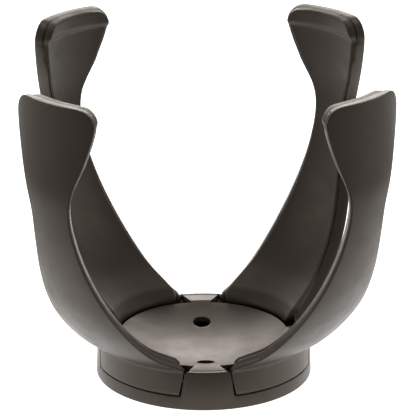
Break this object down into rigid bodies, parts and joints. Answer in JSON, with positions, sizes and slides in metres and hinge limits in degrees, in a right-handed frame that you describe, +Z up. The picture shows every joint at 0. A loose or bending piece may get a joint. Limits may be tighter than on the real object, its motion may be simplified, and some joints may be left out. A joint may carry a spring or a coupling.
{
  "type": "rod holder",
  "caption": "Low round dished base with hinged cradle arms standing around it, which swing in to steady a rod butt, tube or bottle set in the dish.",
  "frame": {"origin": "centre of the foot pad's underside, on the base's centre line", "axes": "+Z up along the base's centre line; the front is -Y and the right is +X; the arms stand on the diagonals"},
  "size_m": [0.1262, 0.122, 0.1196],
  "materials": {
    "moulded_plastic": "satin moulded, dark warm grey",
    "soft_grip": "smooth soft-touch lining, dark warm grey",
    "steel": "plain turned steel",
    "foot_rubber": "matt black"
  },
  "bodies": {
    "base": {"base_housing": "moulded_plastic", "dish_plate": "moulded_plastic", "foot_pad": "foot_rubber", "hinge_pin_front_right": "steel", "friction_washer_front_right_a": "steel", "friction_washer_front_right_b": "steel", "cover_screw_front_right": "steel", "hinge_pin_back_right": "steel", "friction_washer_back_right_a": "steel", "friction_washer_back_right_b": "steel", "cover_screw_back_right": "steel", "hinge_pin_back_left": "steel", "friction_washer_back_left_a": "steel", "friction_washer_back_left_b": "steel", "cover_screw_back_left": "steel", "hinge_pin_front_left": "steel", "friction_washer_front_left_a": "steel", "friction_washer_front_left_b": "steel", "cover_screw_front_left": "steel"},
    "front_right_arm": {"arm_front_right": "moulded_plastic", "grip_pad_front_right": "soft_grip"},
    "back_right_arm": {"arm_back_right": "moulded_plastic", "grip_pad_back_right": "soft_grip"},
    "back_left_arm": {"arm_back_left": "moulded_plastic", "grip_pad_back_left": "soft_grip"},
    "front_left_arm": {"arm_front_left": "moulded_plastic", "grip_pad_front_left": "soft_grip"}
  },
  "joints": [
    {"name": "front_right_hinge", "type": "hinge", "parent": "base", "child": "front_right_arm", "pos_m": [0.01923, -0.01923, 0.0076], "axis": [-0.7071, -0.7071, 0], "range_deg": [0, 22]},
    {"name": "back_right_hinge", "type": "hinge", "parent": "base", "child": "back_right_arm", "pos_m": [0.01923, 0.01923, 0.0076], "axis": [0.7071, -0.7071, 0], "range_deg": [-3.3, 18.7]},
    {"name": "back_left_hinge", "type": "hinge", "parent": "base", "child": "back_left_arm", "pos_m": [-0.01923, 0.01923, 0.0076], "axis": [0.7071, 0.7071, 0], "range_deg": [-3.3, 18.7]},
    {"name": "front_left_hinge", "type": "hinge", "parent": "base", "child": "front_left_arm", "pos_m": [-0.01923, -0.01923, 0.0076], "axis": [-0.7071, 0.7071, 0], "range_deg": [0, 22]}
  ]
}
